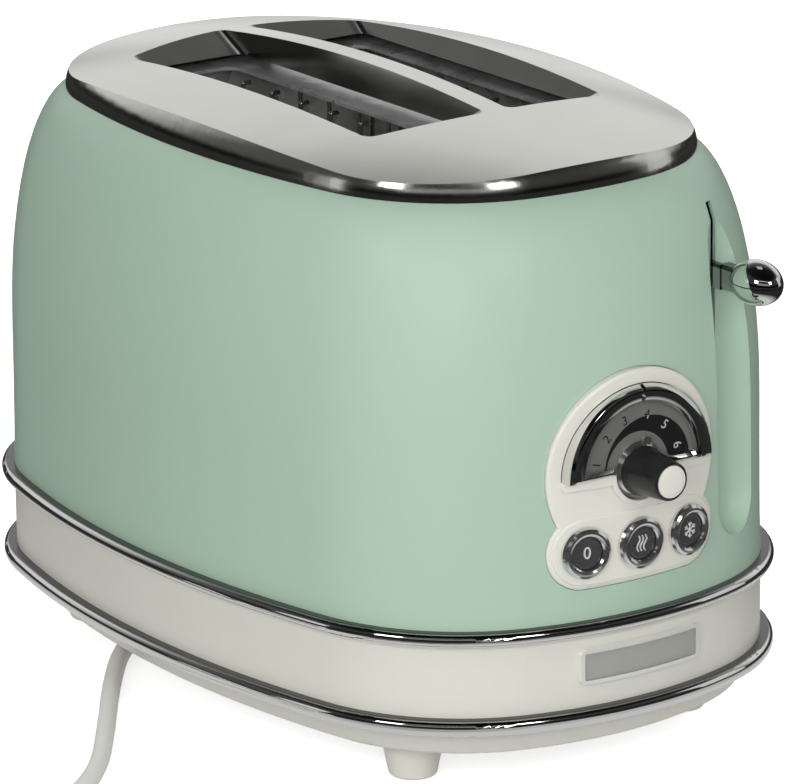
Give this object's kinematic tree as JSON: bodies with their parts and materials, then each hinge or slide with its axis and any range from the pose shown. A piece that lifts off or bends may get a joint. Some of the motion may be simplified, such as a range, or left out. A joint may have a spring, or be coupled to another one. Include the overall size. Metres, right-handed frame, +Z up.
{
  "type": "two-slot pop-up toaster",
  "caption": "Two-slot pop-up toaster in a rounded retro style, with a side lever, a browning dial, push buttons, a lift carriage, bread guides, a crumb tray and a mains cord.",
  "frame": {"origin": "middle of the toaster's bounding box in plan, cord left out, on the surface that the feet stand on", "axes": "+Z up, +X along the length, out of the end with the lever and controls, +Y across, towards the lever's side"},
  "size_m": [0.322, 0.3463, 0.216],
  "materials": {
    "mint_enamel": "glossy enamel",
    "polished_chrome": "polished",
    "polished_steel": "polished",
    "galvanised_sheet": "galvanised sheet",
    "spring_steel": "drawn wire",
    "lamination_steel": "ground",
    "cream_plastic": "glossy",
    "cap_grey": "satin",
    "knob_black": "glossy",
    "scale_grey": "printed",
    "white_plastic": "smooth",
    "cord_white": "smooth flexible",
    "mica": "sheet mica",
    "heating_ribbon": "oxidised",
    "copper_winding": "enamelled wire",
    "board_green": "printed circuit board",
    "switch_black": "moulded",
    "nickel_pin": "nickel plated"
  },
  "bodies": {
    "housing": {"bottom_pan": "cream_plastic", "foot_front_right": "cream_plastic", "foot_front_left": "cream_plastic", "foot_rear_right": "cream_plastic", "foot_rear_left": "cream_plastic", "lower_ring": "polished_chrome", "upper_ring": "polished_chrome", "base_band": "cream_plastic", "badge_plate": "polished_chrome", "body_shell": "mint_enamel", "top_plate": "polished_steel", "end_plate_right": "galvanised_sheet", "end_plate_left": "galvanised_sheet", "side_panel_front": "galvanised_sheet", "side_panel_rear": "galvanised_sheet", "inner_frame": "galvanised_sheet", "heater_board_front": "mica", "heater_board_centre": "mica", "heater_board_rear": "mica", "heater_ribbon_front": "heating_ribbon", "heater_ribbon_centre": "heating_ribbon", "heater_ribbon_rear": "heating_ribbon", "guide_rod": "polished_chrome", "return_spring": "spring_steel", "magnet_core": "lamination_steel", "magnet_coil": "copper_winding", "control_panel": "cream_plastic", "dial_frame": "polished_chrome", "dial_scale": "scale_grey", "potentiometer": "switch_black", "button_bezels": "polished_chrome", "push_switches": "switch_black", "control_board": "board_green", "heat_shield": "galvanised_sheet", "base_screws": "spring_steel", "cord_gland": "white_plastic", "cord": "cord_white", "cord_coil": "cord_white", "plug": "cord_white", "plug_pins": "nickel_pin"},
    "lift": {"lever_knob": "polished_chrome", "lever_arm": "polished_chrome", "carriage": "galvanised_sheet", "armature": "lamination_steel", "bread_rack_front": "galvanised_sheet", "bread_rack_rear": "galvanised_sheet"},
    "dial": {"pointer_skirt": "polished_chrome", "dial_knob": "knob_black", "knob_cap": "cream_plastic", "dial_shaft": "white_plastic"},
    "crumb_drawer": {"crumb_tray": "galvanised_sheet", "tray_front": "cream_plastic"},
    "stop_key": {"stop_button": "cap_grey"},
    "reheat_key": {"reheat_button": "cap_grey"},
    "defrost_key": {"defrost_button": "cap_grey"},
    "front_inner_guide": {"bread_guide_front_inner": "spring_steel"},
    "front_outer_guide": {"bread_guide_front_outer": "spring_steel"},
    "rear_inner_guide": {"bread_guide_rear_inner": "spring_steel"},
    "rear_outer_guide": {"bread_guide_rear_outer": "spring_steel"}
  },
  "joints": [
    {"name": "lever_slide", "type": "slide", "parent": "housing", "child": "lift", "axis": [0, 0, -1], "range_m": [0, 0.072], "stiffness_N_per_m": 60, "springref_m": -0.06, "deforming": ["return_spring"]},
    {"name": "front_inner_guide_slide", "type": "slide", "parent": "housing", "child": "front_inner_guide", "axis": [0, -1, 0], "range_m": [0, 0.006]},
    {"name": "front_outer_guide_slide", "type": "slide", "parent": "housing", "child": "front_outer_guide", "axis": [0, 1, 0], "range_m": [0, 0.006]},
    {"name": "rear_inner_guide_slide", "type": "slide", "parent": "housing", "child": "rear_inner_guide", "axis": [0, 1, 0], "range_m": [0, 0.006]},
    {"name": "rear_outer_guide_slide", "type": "slide", "parent": "housing", "child": "rear_outer_guide", "axis": [0, -1, 0], "range_m": [0, 0.006]},
    {"name": "dial_turn", "type": "hinge", "parent": "housing", "child": "dial", "pos_m": [0.142, 0, 0.108], "axis": [1, 0, 0], "range_deg": [-60, 90]},
    {"name": "stop_press", "type": "slide", "parent": "housing", "child": "stop_key", "axis": [-0.9876, 0.1571, 0], "range_m": [0, 0.0022], "stiffness_N_per_m": 400, "springref_m": -0.0015},
    {"name": "reheat_press", "type": "slide", "parent": "housing", "child": "reheat_key", "axis": [-1, 0, 0], "range_m": [0, 0.0022], "stiffness_N_per_m": 400, "springref_m": -0.0015},
    {"name": "defrost_press", "type": "slide", "parent": "housing", "child": "defrost_key", "axis": [-0.9876, -0.1571, 0], "range_m": [0, 0.0022], "stiffness_N_per_m": 400, "springref_m": -0.0015},
    {"name": "tray_pull", "type": "slide", "parent": "housing", "child": "crumb_drawer", "axis": [-1, 0, 0], "range_m": [0, 0.15]}
  ],
  "couplings": [
    {"joint": "front_inner_guide_slide", "follows": "lever_slide", "ratio": 0.08333},
    {"joint": "front_outer_guide_slide", "follows": "lever_slide", "ratio": 0.08333},
    {"joint": "rear_inner_guide_slide", "follows": "lever_slide", "ratio": 0.08333},
    {"joint": "rear_outer_guide_slide", "follows": "lever_slide", "ratio": 0.08333}
  ]
}
